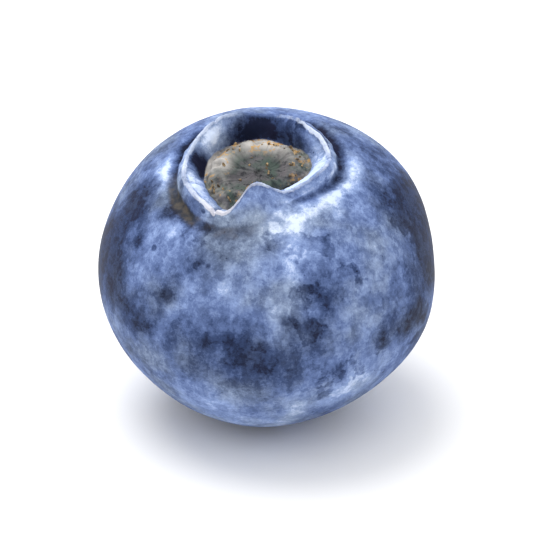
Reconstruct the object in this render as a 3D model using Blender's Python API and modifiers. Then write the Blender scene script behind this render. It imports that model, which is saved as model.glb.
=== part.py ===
"""One ripe highbush blueberry, as picked, resting on its lower side with its crown up.

Run it with: blender --background --python part.py
Units are metres and +Z is up. The origin is the middle of the small flat spot that the berry rests on.

The berry grew as one piece, so it is one solid: the round body, the calyx crown with its five
sepals, the disc with the style scar inside the crown, and the scar where the stalk came off.
It is turned from a half outline about the berry's own axis, and the sepals and the uneven
growth are then raised from that turned surface by formulas.
"""

import math

import bmesh
import bpy
from mathutils import Matrix, Vector, noise

MM = 0.001

# Body: a slightly flattened ball, measured from the plane of its widest ring
EQUATOR_RADIUS = 8.25 * MM
CROWN_END_HEIGHT = 7.6 * MM
STALK_END_HEIGHT = 7.4 * MM
SHOULDER_RADIUS = 5.6 * MM

# Crown: a short tube whose rim rises in five sepals and dips in five notches
LIP_RADIUS = 3.6 * MM
NOTCH_HEIGHT = 7.2 * MM
WALL = 0.6 * MM
CROWN_FOOT = 6.7 * MM
GROOVE_RADIUS = 4.15 * MM
GROOVE_DEPTH = 0.35 * MM
BODY_START = 4.95 * MM  # where the body's curve begins, outside the groove and its round brow
BROW_WIDTH = 0.3 * MM
BROW_DROP = 0.06 * MM
SEPALS = (  # azimuths of its first notch, its tip and its second notch; the tip's rise and lean in
    (16, 50, 78, 0.5 * MM, 0.35 * MM),
    (78, 118, 165, 0.5 * MM, 0.15 * MM),
    (165, 203, 238, 0.4 * MM, -0.1 * MM),
    (238, 263, 313, 1.08 * MM, 0.95 * MM),
    (313, 348, 376, 0.5 * MM, -0.25 * MM),
)
PRESS_AZIMUTH = 308  # one side of the crown grew closer to the axis than the rest
PRESS_WIDTH = 42  # degrees
PRESS_DEPTH = 1.3 * MM
PRESS_END_RADIUS = 6.6 * MM

# Disc inside the crown, with the nectary's low ring and the style scar in the middle
DISC_RADIUS = 2.4 * MM
DISC_HEIGHT = 6.8 * MM
NECTARY_RADIUS = 1.8 * MM
STYLE_SCAR_RADIUS = 0.4 * MM

# Scar where the stalk came off
STALK_SCAR_RADIUS = 1.0 * MM
STALK_SCAR_RIM = 1.3 * MM
STALK_SCAR_DEPTH = 0.8 * MM

# Uneven growth: broad swells and flats, each as its azimuth, latitude, height and width
SWELLS = (
    (344, -17, 0.26 * MM, 20),
    (31, 22, 0.26 * MM, 24),
    (312, -36, -0.12 * MM, 24),
    (218, -27, -0.12 * MM, 26),
    (128, -8, -0.24 * MM, 30),
    (84, -40, 0.18 * MM, 24),
    (270, -73, 0.06 * MM, 10),
)
LUMP_SIZE = 4.2 * MM
LUMP_HEIGHT = 0.09 * MM
LUMP_SEED = Vector((3.1, 7.4, 1.9))

# A soft fold that runs down the body from the foot of the crown
FOLD_TOP_AZIMUTH = 302
FOLD_END_AZIMUTH = 278
FOLD_END = 1.5 * MM
FOLD_WIDTH = 9  # degrees
FOLD_HEIGHT = 0.16 * MM

# How it lies: the crown leans towards the front and a little to the left
LEAN_FORWARD = math.radians(16.5)
LEAN_LEFT = math.radians(2.8)
FLAT_SPOT_DEPTH = 0.12 * MM

# Mesh
STEPS_AROUND = 90
MERGE = 0.001 * MM


def clear_scene():
    for obj in list(bpy.data.objects):
        bpy.data.objects.remove(obj, do_unlink=True)


def skin_material():
    """Blue-black skin under its pale waxy bloom."""
    material = bpy.data.materials.new("bloomed_skin")
    material.use_nodes = True
    shader = material.node_tree.nodes["Principled BSDF"]
    shader.inputs["Base Color"].default_value = (0.13, 0.18, 0.36, 1)
    shader.inputs["Roughness"].default_value = 0.6
    shader.inputs["Metallic"].default_value = 0
    return material


def smoothstep(low, high, value):
    share = min(1, max(0, (value - low) / (high - low)))
    return share * share * (3 - 2 * share)


def smooth_line(points, steps):
    """A Catmull-Rom curve through the points, with this many steps from each to the next."""
    ends = [points[0], *points, points[-1]]
    line = []
    for before, start, stop, after in zip(ends, ends[1:], ends[2:], ends[3:]):
        for k in range(steps):
            t = k / steps
            line.append(
                tuple(
                    0.5 * (2 * b + (c - a) * t + (2 * a - 5 * b + 4 * c - d) * t**2
                           + (3 * b - a - 3 * c + d) * t**3)
                    for a, b, c, d in zip(before, start, stop, after)
                )
            )
    return [*line, points[-1]]


def body_height(radius, pole_height):
    """The body's curve is an ellipse: its height above the widest ring, at a radius."""
    return pole_height * math.sqrt(1 - (radius / EQUATOR_RADIUS) ** 2)


def body_arc(pole_height, start_radius, end_radius, steps):
    start, end = (math.acos(r / EQUATOR_RADIUS) for r in (start_radius, end_radius))
    angles = (start + (end - start) * k / steps for k in range(steps + 1))
    return [(EQUATOR_RADIUS * math.cos(t), pole_height * math.sin(t)) for t in angles]


def disc_points():
    """From the style scar's bottom out to the gutter at the foot of the crown's inner wall."""
    return [
        (0, DISC_HEIGHT - 0.45 * MM),
        (STYLE_SCAR_RADIUS, DISC_HEIGHT - 0.2 * MM),
        (0.9 * MM, DISC_HEIGHT - 0.12 * MM),
        (NECTARY_RADIUS - 0.6 * MM, DISC_HEIGHT - 0.05 * MM),
        (NECTARY_RADIUS, DISC_HEIGHT + 0.1 * MM),
        (DISC_RADIUS - 0.2 * MM, DISC_HEIGHT - 0.08 * MM),
        (DISC_RADIUS, DISC_HEIGHT - 0.2 * MM),
        (DISC_RADIUS + 0.2 * MM, DISC_HEIGHT - 0.3 * MM),
    ]


def groove_height():
    return body_height(GROOVE_RADIUS, CROWN_END_HEIGHT) - GROOVE_DEPTH


def crown_points():
    """Up the crown's inner wall, over the lip, down its outer wall, and through the groove to its brow."""
    inner, outer = LIP_RADIUS - WALL / 2, LIP_RADIUS + WALL / 2
    brow_radius = BODY_START - BROW_WIDTH
    return [
        (DISC_RADIUS + 0.45 * MM, DISC_HEIGHT - 0.1 * MM),
        (inner + 0.04 * MM, NOTCH_HEIGHT - 0.12 * MM),
        (LIP_RADIUS, NOTCH_HEIGHT),
        (outer - 0.04 * MM, NOTCH_HEIGHT - 0.12 * MM),
        (outer, NOTCH_HEIGHT - 0.3 * MM),
        (outer + 0.08 * MM, CROWN_FOOT - 0.1 * MM),
        (GROOVE_RADIUS, groove_height()),
        (brow_radius, body_height(brow_radius, CROWN_END_HEIGHT) - BROW_DROP),
        (BODY_START, body_height(BODY_START, CROWN_END_HEIGHT)),
    ]


def stalk_scar_points():
    """Over the scar's rim, down its wall and across its floor to the axis."""
    rim_height = -body_height(STALK_SCAR_RIM, STALK_END_HEIGHT)
    floor_height = rim_height + STALK_SCAR_DEPTH
    return [
        (STALK_SCAR_RIM, rim_height),
        (STALK_SCAR_RADIUS + 0.08 * MM, rim_height + 0.12 * MM),
        (STALK_SCAR_RADIUS - 0.05 * MM, rim_height + 0.5 * STALK_SCAR_DEPTH),
        (STALK_SCAR_RADIUS - 0.2 * MM, floor_height),
        (0.45 * MM, floor_height + 0.04 * MM),
        (0, floor_height - 0.1 * MM),
    ]


def half_outline():
    """(radius, height) pairs from the middle of the disc, over the crown and body, to the stalk scar."""
    crown_end = smooth_line([*disc_points(), *crown_points()], 2)
    upper = body_arc(CROWN_END_HEIGHT, BODY_START, EQUATOR_RADIUS, 10)
    lower = [(r, -h) for r, h in body_arc(STALK_END_HEIGHT, EQUATOR_RADIUS, 2 * MM, 11)]
    return [*crown_end, *upper[1:], *lower[1:], *smooth_line(stalk_scar_points(), 1)]


def turned_mesh(outline):
    """The outline spun once round the Z axis."""
    mesh = bpy.data.meshes.new("half_outline")
    edges = [(k, k + 1) for k in range(len(outline) - 1)]
    mesh.from_pydata([(r, 0, h) for r, h in outline], edges, [])
    profile = bpy.data.objects.new("half_outline", mesh)
    bpy.context.scene.collection.objects.link(profile)
    screw = profile.modifiers.new("turn", "SCREW")
    screw.axis = "Z"
    screw.angle = 2 * math.pi
    screw.steps = screw.render_steps = STEPS_AROUND
    screw.use_merge_vertices = True
    screw.merge_threshold = MERGE
    graph = bpy.context.evaluated_depsgraph_get()
    turned = bpy.data.meshes.new_from_object(profile.evaluated_get(graph))
    bpy.data.objects.remove(profile, do_unlink=True)
    return turned


def sepal_at(azimuth):
    """How far the sepals raise the rim at this azimuth, and how far they lean it in."""
    degrees = math.degrees(azimuth) % 360
    if degrees < SEPALS[0][0]:
        degrees += 360
    for start, tip, end, rise, lean in SEPALS:
        if degrees <= end:
            off_tip = (tip - degrees) / (tip - start) if degrees < tip else (degrees - tip) / (end - tip)
            reach = 0.5 + 0.5 * math.cos(math.pi * off_tip)
            return rise * reach, lean * reach
    return 0, 0


def up_crown(radius, height):
    """0 at the foot of the crown's wall and 1 at its lip, on the inner side as on the outer side."""
    if radius < LIP_RADIUS:
        return smoothstep(DISC_RADIUS, LIP_RADIUS - WALL / 2, radius)
    return smoothstep(groove_height(), NOTCH_HEIGHT - 0.12 * MM, height)


def off_azimuth(azimuth, degrees):
    """The turn from this many degrees to the azimuth, in degrees, the short way round."""
    return math.degrees(math.remainder(azimuth - math.radians(degrees), 2 * math.pi))


def fold_at(azimuth, radius, height):
    """The fold below the crown: a ridge with a shallow crease on one side, fading down the body."""
    down = min(1, max(0, (CROWN_FOOT - height) / (CROWN_FOOT - FOLD_END)))
    middle = FOLD_TOP_AZIMUTH + (FOLD_END_AZIMUTH - FOLD_TOP_AZIMUTH) * down
    turn = off_azimuth(azimuth, middle) / FOLD_WIDTH
    starts = smoothstep(GROOVE_RADIUS, SHOULDER_RADIUS, radius)
    ends = 1 - smoothstep(0.4, 1, down)
    return (math.exp(-(turn**2)) - 0.8 * math.exp(-((turn + 1.6) ** 2))) * starts * ends


def swell_at(point):
    """The height of all the broad swells and flats in the direction of this point."""
    height = 0
    for azimuth, latitude, rise, width in SWELLS:
        across, up = math.radians(azimuth), math.radians(latitude)
        middle = Vector((math.cos(across) * math.cos(up), math.sin(across) * math.cos(up), math.sin(up)))
        height += rise * math.exp(-((math.degrees(point.angle(middle)) / width) ** 2))
    return height


def crown_press(azimuth, radius, height):
    """How far a point is drawn in towards the axis on the pressed side, and how far it rises by that.

    The skin outside the groove slides up along the body's curve. The rim keeps its height.
    """
    if height < 0 or radius > PRESS_END_RADIUS:
        return 0, 0
    aside = math.exp(-((off_azimuth(azimuth, PRESS_AZIMUTH) / PRESS_WIDTH) ** 2))
    fades_out = 1 - smoothstep(GROOVE_RADIUS, PRESS_END_RADIUS, radius)
    fades_in = min(1, radius / (LIP_RADIUS - WALL))
    inwards = PRESS_DEPTH * aside * fades_out * fades_in
    if radius < LIP_RADIUS:
        return inwards, 0
    rises = body_height(radius - inwards, CROWN_END_HEIGHT) - body_height(radius, CROWN_END_HEIGHT)
    return inwards, rises * (1 - up_crown(radius, height))


def grown(point):
    """A point of the turned surface, moved to where the sepals and the uneven growth put it."""
    radius, height = math.hypot(point.x, point.y), point.z
    azimuth = math.atan2(point.y, point.x)
    swell = swell_at(point) + LUMP_HEIGHT * noise.noise(point / LUMP_SIZE + LUMP_SEED)
    swell += FOLD_HEIGHT * fold_at(azimuth, radius, height)
    up = up_crown(radius, height)
    rise, lean = sepal_at(azimuth)
    inwards, lifted = crown_press(azimuth, radius, height)
    radius -= inwards + up**2 * lean
    height += lifted + up * rise
    moved = Vector((radius * math.cos(azimuth), radius * math.sin(azimuth), height))
    return moved + point.normalized() * swell


def lay_down(shape):
    """Leans the berry as it lies, cuts the small flat spot and puts the spot's middle at the origin."""
    lean = Matrix.Rotation(-LEAN_LEFT, 3, "Y") @ Matrix.Rotation(LEAN_FORWARD, 3, "X")
    bmesh.ops.rotate(shape, matrix=lean, verts=shape.verts)
    floor = min(vert.co.z for vert in shape.verts) + FLAT_SPOT_DEPTH
    everything = [*shape.verts, *shape.edges, *shape.faces]
    bmesh.ops.bisect_plane(
        shape, geom=everything, plane_co=(0, 0, floor), plane_no=(0, 0, -1), clear_outer=True
    )
    open_edges = [edge for edge in shape.edges if edge.is_boundary]
    spot = bmesh.ops.contextual_create(shape, geom=open_edges)["faces"][0]
    bmesh.ops.translate(shape, vec=-spot.calc_center_median_weighted(), verts=shape.verts)


def blueberry():
    shape = bmesh.new()
    shape.from_mesh(turned_mesh(half_outline()))
    bmesh.ops.remove_doubles(shape, verts=shape.verts, dist=MERGE)
    for vert in shape.verts:
        vert.co = grown(vert.co)
    lay_down(shape)
    bmesh.ops.recalc_face_normals(shape, faces=shape.faces)
    mesh = bpy.data.meshes.new("blueberry")
    shape.to_mesh(mesh)
    shape.free()
    mesh.materials.append(skin_material())
    mesh.shade_smooth()
    mesh.set_sharp_from_angle(angle=math.radians(80))
    return bpy.data.objects.new("blueberry", mesh)


def main():
    clear_scene()
    collection = bpy.data.collections.new("blueberry")
    bpy.context.scene.collection.children.link(collection)
    collection.objects.link(blueberry())


main()
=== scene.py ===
# %% [markdown]
# # One blueberry, grown with nodes
#
# A blueberry is a slightly flattened ball with a crown. The crown is what stays of the flower: five
# sepals round a shallow cup. A pale wax, called bloom, dusts the dark skin, and it is what makes a
# blueberry blue. This lesson grows the berry from half of its outline, dusts it with bloom, and lights
# it on a pale table. Each step says what the thing is on a real berry before it makes it.
#
# The first cell loads the measured solid of the berry. The finer berry that is made below takes its
# place from that solid, so both stand at the same spot and have the same size.

# %% Load the measured solid
import math

import bpy
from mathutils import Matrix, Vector


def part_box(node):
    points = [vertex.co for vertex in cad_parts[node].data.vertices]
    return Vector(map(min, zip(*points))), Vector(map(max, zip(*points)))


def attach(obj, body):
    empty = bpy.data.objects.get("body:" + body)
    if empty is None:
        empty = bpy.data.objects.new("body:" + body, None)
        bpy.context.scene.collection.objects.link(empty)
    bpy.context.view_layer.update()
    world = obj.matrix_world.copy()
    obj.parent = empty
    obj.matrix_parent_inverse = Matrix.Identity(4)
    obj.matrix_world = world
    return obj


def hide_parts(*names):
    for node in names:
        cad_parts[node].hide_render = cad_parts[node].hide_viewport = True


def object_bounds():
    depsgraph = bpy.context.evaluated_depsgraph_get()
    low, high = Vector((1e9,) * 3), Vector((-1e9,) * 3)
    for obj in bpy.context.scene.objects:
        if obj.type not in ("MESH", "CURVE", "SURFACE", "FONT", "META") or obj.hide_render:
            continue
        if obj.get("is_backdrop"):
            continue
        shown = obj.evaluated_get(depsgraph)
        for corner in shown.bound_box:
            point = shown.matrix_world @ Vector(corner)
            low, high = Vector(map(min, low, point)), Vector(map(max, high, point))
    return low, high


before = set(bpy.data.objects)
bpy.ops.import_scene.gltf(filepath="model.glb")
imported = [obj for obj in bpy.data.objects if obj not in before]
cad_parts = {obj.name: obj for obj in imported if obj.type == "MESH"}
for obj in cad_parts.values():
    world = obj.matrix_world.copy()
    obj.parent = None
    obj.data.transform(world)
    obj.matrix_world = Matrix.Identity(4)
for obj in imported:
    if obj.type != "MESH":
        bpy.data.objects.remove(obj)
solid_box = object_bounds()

SOLID = "blueberry"
MM = 0.001
sides = solid_box[1] - solid_box[0]
print("the solid measures", " x ".join(f"{side / MM:.1f}" for side in sides), "mm")

# %% [markdown]
# ## Arithmetic with nodes
#
# In Blender a node tree is a formula that runs for every point of a mesh, or of a surface while it is
# rendered. A long formula takes hundreds of nodes, and they are hard to read as nodes. So a small class
# stands for "a number that differs from point to point", and `a * b + c` on it adds the two nodes that
# say so. Shape and finish below are both written this way.

# %% A number that differs from point to point


def feed(socket, value):
    """Puts a constant in a socket, or links it to the node that makes the value."""
    if isinstance(value, Value):
        socket.id_data.links.new(value.socket, socket)
    else:
        socket.default_value = value


def add_node(tree, kind, inputs=None, **settings):
    """A new node with these settings, and with these inputs by name or by number."""
    made = tree.nodes.new(kind)
    for name, setting in settings.items():
        setattr(made, name, setting)
    for name, value in (inputs or {}).items():
        feed(made.inputs[name], value)
    return made


def result(tree, kind, inputs=None, output=0, **settings):
    """What a new node puts out, at the output of this name or number."""
    return Value(add_node(tree, kind, inputs, **settings).outputs[output])


def tree_of(*values):
    """The tree that these values are worked out in."""
    return next(value.socket.id_data for value in values if isinstance(value, Value))


def calculate(operation, *values):
    """One Math node."""
    return result(tree_of(*values), "ShaderNodeMath", dict(enumerate(values)), operation=operation)


def calculate_vector(operation, *values, output=0):
    """One Vector Math node."""
    inputs = dict(enumerate(values))
    return result(tree_of(*values), "ShaderNodeVectorMath", inputs, output, operation=operation)


class Value:
    """What a node puts out. A sign of arithmetic on it adds a Math node."""

    def __init__(self, socket):
        self.socket = socket

    def __neg__(self):
        return self * -1.0


def sign(operation, swapped=False):
    """What Python runs for a sign, with its two sides swapped where a plain number stands first."""
    if swapped:
        return lambda second, first: calculate(operation, first, second)
    return lambda first, second: calculate(operation, first, second)


SIGNS = {"add": "ADD", "sub": "SUBTRACT", "mul": "MULTIPLY", "truediv": "DIVIDE", "pow": "POWER"}
for name, operation in SIGNS.items():
    setattr(Value, f"__{name}__", sign(operation))
    setattr(Value, f"__r{name}__", sign(operation, swapped=True))
print("Math nodes now have the signs + - * / and **, as", ", ".join(SIGNS))

# %% [markdown]
# ## Four shapes of formula
#
# Almost all that follows is put together from four small curves. A *step* rises softly from one value to
# another. A *bell* is a bump round a middle. A *turn* is the difference of two directions, the short way
# round. *Noise* is smooth and random, with lumps of about the size asked for.

# %% Step, bell, turn and noise


def step(value, low, high, start=0.0, end=1.0):
    """A soft step from start to end while the value goes from low to high."""
    inputs = {0: value, 1: low, 2: high, 3: start, 4: end}
    return result(tree_of(value), "ShaderNodeMapRange", inputs, interpolation_type="SMOOTHSTEP")


def bell(value, middle, width):
    """1 at the middle, 0.37 one width away from it, and soon 0."""
    off = (value - middle) / width
    return calculate("EXPONENT", -(off * off))


def turn_from(degrees, middle):
    """Degrees from the middle, between -180 and 180."""
    return calculate("WRAP", degrees - middle, 180.0, -180.0)


def clamp(value, low=0.0, high=1.0):
    """The value, kept from going below low or above high."""
    return calculate("MINIMUM", calculate("MAXIMUM", value, low), high)


def between(value, low, high):
    """1 from low to high and 0 elsewhere."""
    return calculate("GREATER_THAN", value, low) * calculate("LESS_THAN", value, high)


def split(vector):
    """The three numbers of a vector."""
    made = add_node(tree_of(vector), "ShaderNodeSeparateXYZ", {0: vector})
    return [Value(socket) for socket in made.outputs]


def join(tree, *numbers):
    """A vector from three numbers."""
    return result(tree, "ShaderNodeCombineXYZ", dict(enumerate(numbers)))


def stretched(vector, scale):
    """The vector with each of its three numbers multiplied by its own scale."""
    return calculate_vector("MULTIPLY", vector, scale)


def scaled(vector, number):
    """The vector made longer or shorter by a number that may differ from point to point."""
    inputs = {0: vector, "Scale": number}
    return result(tree_of(vector), "ShaderNodeVectorMath", inputs, operation="SCALE")


def noise(at, size, detail=2.0, rough=0.5, seed=0.0):
    """Smooth noise between about -0.5 and 0.5, with lumps of about this size in metres."""
    moved = calculate_vector("ADD", at, (seed * MM, -2 * seed * MM, 3 * seed * MM))
    inputs = {"Vector": moved, "Scale": 1 / size, "Detail": detail, "Roughness": rough}
    return result(tree_of(at), "ShaderNodeTexNoise", inputs) - 0.5


for curve in (step, bell, turn_from, noise):
    print(curve.__name__, "-", curve.__doc__)

# %% [markdown]
# ## Half of the outline
#
# Cut a berry in half from the crown to the stalk scar and look at the cut edge. Start in the middle of
# the crown's cup, at the small scar where the flower's style stood. Go out over the disc, up the inside
# of the crown, over its lip, down into the groove round its foot, and then round the body to the pit
# where the stalk came off. That one line, turned round the berry's axis, is most of the shape.
#
# Only the points that matter are named. A Catmull-Rom curve, which passes through all its points, rounds
# the line off, and the body is a piece of an ellipse. Each point also carries weights that say which part
# of the berry it belongs to, so that the finish can tell disc from skin later.

# %% Sizes of the berry
EQUATOR_RADIUS = 8.25 * MM
CROWN_END_HEIGHT = 7.6 * MM  # from the widest ring up to where the body's curve would end
STALK_END_HEIGHT = 7.4 * MM
SHOULDER_RADIUS = 5.6 * MM

LIP_RADIUS = 3.6 * MM
NOTCH_HEIGHT = 7.2 * MM
FOOT_WALL = 0.6 * MM
LIP_WALL = 0.22 * MM  # dry sepals are thin at their edge
CROWN_FOOT = 6.7 * MM
GROOVE_RADIUS = 4.15 * MM
GROOVE_DEPTH = 0.35 * MM
BODY_START = 4.95 * MM  # where the body's curve begins, outside the groove and its round brow
BROW_WIDTH = 0.3 * MM
BROW_DROP = 0.06 * MM

DISC_RADIUS = 2.4 * MM
DISC_HEIGHT = 6.8 * MM
NECTARY_RADIUS = 1.8 * MM
STYLE_SCAR_RADIUS = 0.28 * MM

STALK_SCAR_RADIUS = 1.0 * MM
STALK_SCAR_RIM = 1.3 * MM
STALK_SCAR_DEPTH = 0.8 * MM
BODY_END = 2.0 * MM  # where the body's curve ends, outside the stalk scar

CROWN_STEPS, SCAR_STEPS = 5, 4  # from each named point to the next
UPPER_STEPS, LOWER_STEPS = 38, 44  # along the body, above and below its widest ring

print("the body is", round(2 * EQUATOR_RADIUS / MM, 1), "mm wide, its crown", 2 * LIP_RADIUS / MM, "mm")

# %% The line, with a weight for each part of the berry
WEIGHTS = ("disc", "inner_wall", "lip", "outer_wall", "groove", "skin", "stalk_scar")


def part_of_line(weight, *points):
    """These (radius, height) points, each with weight 1 for its own part of the berry."""
    marks = tuple(float(weight == name) for name in WEIGHTS)
    return [(*point, *marks) for point in points]


def smooth_line(points, steps):
    """A Catmull-Rom curve through the points, with this many steps from each to the next."""
    ends = [points[0], *points, points[-1]]
    line = []
    for before, start, stop, after in zip(ends, ends[1:], ends[2:], ends[3:]):
        for k in range(steps):
            t = k / steps
            line.append(
                tuple(
                    0.5 * (2 * b + (c - a) * t + (2 * a - 5 * b + 4 * c - d) * t**2
                           + (3 * b - a - 3 * c + d) * t**3)
                    for a, b, c, d in zip(before, start, stop, after)
                )
            )
    return [*line, points[-1]]


def body_height(radius, pole_height):
    return pole_height * math.sqrt(1 - (radius / EQUATOR_RADIUS) ** 2)


def body_arc(pole_height, start_radius, end_radius, steps):
    """The ellipse of the body from one radius to another."""
    start, end = (math.acos(r / EQUATOR_RADIUS) for r in (start_radius, end_radius))
    angles = (start + (end - start) * k / steps for k in range(steps + 1))
    return [(EQUATOR_RADIUS * math.cos(t), pole_height * math.sin(t)) for t in angles]


def disc_line():
    rim_of_scar = DISC_HEIGHT - 0.08 * MM
    return part_of_line(
        "disc",
        (0, DISC_HEIGHT - 0.26 * MM),
        (0.6 * STYLE_SCAR_RADIUS, DISC_HEIGHT - 0.24 * MM),
        (STYLE_SCAR_RADIUS, rim_of_scar),
        (1.7 * STYLE_SCAR_RADIUS, rim_of_scar - 0.01 * MM),
        (0.95 * MM, DISC_HEIGHT - 0.14 * MM),
        (NECTARY_RADIUS - 0.5 * MM, DISC_HEIGHT - 0.06 * MM),
        (NECTARY_RADIUS, DISC_HEIGHT + 0.1 * MM),
        (DISC_RADIUS - 0.2 * MM, DISC_HEIGHT - 0.06 * MM),
        (DISC_RADIUS, DISC_HEIGHT - 0.2 * MM),
        (DISC_RADIUS + 0.2 * MM, DISC_HEIGHT - 0.34 * MM),
    )


def groove_height():
    return body_height(GROOVE_RADIUS, CROWN_END_HEIGHT) - GROOVE_DEPTH


def crown_line():
    lip_in, lip_out = LIP_RADIUS - LIP_WALL / 2, LIP_RADIUS + LIP_WALL / 2
    foot_out = LIP_RADIUS + FOOT_WALL / 2
    brow_radius = BODY_START - BROW_WIDTH
    return [
        *part_of_line(
            "inner_wall",
            (DISC_RADIUS + 0.5 * MM, DISC_HEIGHT - 0.1 * MM),
            (lip_in - 0.15 * MM, NOTCH_HEIGHT - 0.2 * MM),
        ),
        *part_of_line(
            "lip",
            (lip_in + 0.04 * MM, NOTCH_HEIGHT - 0.04 * MM),
            (LIP_RADIUS, NOTCH_HEIGHT),
            (lip_out - 0.04 * MM, NOTCH_HEIGHT - 0.04 * MM),
        ),
        *part_of_line(
            "outer_wall",
            (lip_out + 0.05 * MM, NOTCH_HEIGHT - 0.22 * MM),
            (foot_out, NOTCH_HEIGHT - 0.42 * MM),
            (foot_out + 0.08 * MM, CROWN_FOOT - 0.1 * MM),
        ),
        *part_of_line("groove", (GROOVE_RADIUS, groove_height())),
        *part_of_line(
            "skin",
            (brow_radius, body_height(brow_radius, CROWN_END_HEIGHT) - BROW_DROP),
            (BODY_START, body_height(BODY_START, CROWN_END_HEIGHT)),
        ),
    ]


def stalk_scar_line():
    rim_height = -body_height(STALK_SCAR_RIM, STALK_END_HEIGHT)
    floor_height = rim_height + STALK_SCAR_DEPTH
    return part_of_line(
        "stalk_scar",
        (STALK_SCAR_RIM, rim_height),
        (STALK_SCAR_RADIUS + 0.08 * MM, rim_height + 0.12 * MM),
        (STALK_SCAR_RADIUS - 0.05 * MM, rim_height + 0.5 * STALK_SCAR_DEPTH),
        (STALK_SCAR_RADIUS - 0.2 * MM, floor_height),
        (0.45 * MM, floor_height + 0.04 * MM),
        (0, floor_height - 0.1 * MM),
    )


def half_outline():
    crown_end = smooth_line([*disc_line(), *crown_line()], CROWN_STEPS)
    upper_arc = body_arc(CROWN_END_HEIGHT, BODY_START, EQUATOR_RADIUS, UPPER_STEPS)
    lower_arc = body_arc(STALK_END_HEIGHT, EQUATOR_RADIUS, BODY_END, LOWER_STEPS)
    upper = part_of_line("skin", *upper_arc)
    lower = part_of_line("skin", *[(r, -h) for r, h in lower_arc])
    stalk_end = smooth_line(stalk_scar_line(), SCAR_STEPS)
    return [*crown_end, *upper[1:], *lower[1:], *stalk_end]


def outline_object(line):
    """The line as a mesh of points, with the weights as attributes that nodes can read."""
    mesh = bpy.data.meshes.new("half outline")
    edges = [(k, k + 1) for k in range(len(line) - 1)]
    mesh.from_pydata([(point[0], 0, point[1]) for point in line], edges, [])
    for number, name in enumerate(WEIGHTS, start=2):
        attribute = mesh.attributes.new(name, "FLOAT", "POINT")
        attribute.data.foreach_set("value", [point[number] for point in line])
    return bpy.data.objects.new("half outline", mesh)


outline = outline_object(half_outline())
rows = len(outline.data.vertices)
print("the half outline has", rows, "points")

# %% [markdown]
# ## The rule for the crown and the uneven growth
#
# A turned shape is too even for a fruit. Seven things change it, and each is one formula in the direction
# round the berry's axis and the place on the outline.
#
# 1. *Sepals.* Between two notches the crown's rim rises in an arch with a blunt point, and leans in.
# 2. *Press.* One side of the crown grew closer to the axis than the rest.
# 3. *Swells.* Broad swells and flats, where the berry had room to grow or was held back.
# 4. *Fold.* A soft ridge with a crease runs down the body from the foot of the crown.
# 5. *Hollows.* The disc has shrunk away from the crown's wall, most of all at the back. In front the
#    groove round the crown is filled a little.
# 6. *Ragged edge.* The sepals have dried, so their edge is torn in places and waves in and out.
# 7. *Relief.* Small lumps on the skin, wrinkles up the crown's wall and across the disc, ten scars where
#    the stamens stood in a ring, and cork in the stalk scar.
#
# The first four are the same as on the measured solid, so the finer berry keeps its form. All are kept as
# short lists of places, because a list is easy to compare with a real berry held next to the screen.

# %% Values of the crown and the uneven growth
SEPALS = (  # azimuths of its first notch, its tip and its second notch; the tip's rise and lean in
    (16, 50, 78, 0.5 * MM, 0.35 * MM),
    (78, 118, 165, 0.5 * MM, 0.15 * MM),
    (165, 203, 238, 0.4 * MM, -0.1 * MM),
    (238, 263, 313, 1.08 * MM, 0.95 * MM),
    (313, 348, 376, 0.5 * MM, -0.25 * MM),
)
SWELLS = (  # azimuth, latitude, height and width of each
    (344, -17, 0.26 * MM, 20),
    (31, 22, 0.26 * MM, 24),
    (312, -36, -0.12 * MM, 24),
    (218, -27, -0.12 * MM, 26),
    (128, -8, -0.24 * MM, 30),
    (84, -40, 0.18 * MM, 24),
    (270, -73, 0.06 * MM, 10),
)
HOLLOWS = (  # azimuth, depth and width of each hollow between the disc and the crown's wall
    (58, 0.55 * MM, 20),
    (112, 0.5 * MM, 26),
    (170, 0.5 * MM, 13),
    (232, 0.2 * MM, 14),
)
HOLLOW_RING, HOLLOW_WIDTH = DISC_RADIUS + 0.38 * MM, 0.26 * MM
GROOVE_FILLS = ((255, 0.2 * MM, 42), (288, 0.2 * MM, 14))
PRESS_AZIMUTH, PRESS_WIDTH, PRESS_END_RADIUS = 308, 42, 6.6 * MM
FOLD_TOP_AZIMUTH, FOLD_END_AZIMUTH, FOLD_WIDTH = 302, 278, 9
FOLD_END = 1.5 * MM
CREASE_TURN, CREASE_SHARE = -1.6, 0.8  # beside the fold in widths of it, and as a share of its height
STAMENS = 10
STAMEN_RING, STAMEN_DEGREES, STAMEN_LENGTH = DISC_RADIUS - 0.3 * MM, 6.0, 0.22 * MM
RAY_RING = 1.6 * MM  # the disc's wrinkles are as wide as RAY_WIDTH on a ring of this radius
RAY_WIDTH = 0.32 * MM
LEAN = (math.radians(16.5), math.radians(-2.8), 0)  # forwards, then to the left

RAGGED_SIZE, TEAR_SIZE, WAVE_SIZE = 0.7 * MM, 0.45 * MM, 1.5 * MM  # along the rim of the crown
BROAD_LUMP, SKIN_LUMP, DISC_LUMP, CORK_LUMP = 4.2 * MM, 1.7 * MM, 0.55 * MM, 0.4 * MM
WALL_WRINKLE, WRINKLE_STRETCH = 0.5 * MM, 0.22

SIZE_INPUTS = {
    "Columns": 480,
    "Sepal height": 1.0,
    "Sepal lean": 1.0,
    "Ragged edge": 0.34 * MM,
    "Wavy edge": 0.26 * MM,
    "Tear depth": 0.2 * MM,
    "Press depth": 1.3 * MM,
    "Fold height": 0.16 * MM,
    "Lump height": 0.12 * MM,
    "Skin relief": 0.05 * MM,
    "Wall wrinkles": 0.26 * MM,
    "Disc relief": 0.4 * MM,
    "Disc wrinkles": 0.22 * MM,
    "Stamen scar depth": 0.1 * MM,
    "Cork relief": 0.3 * MM,
    "Seed": 7.0,
}

print("the crown has", len(SEPALS), "sepals and the body", len(SWELLS), "swells and flats")

# %% The crown's rule


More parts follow.
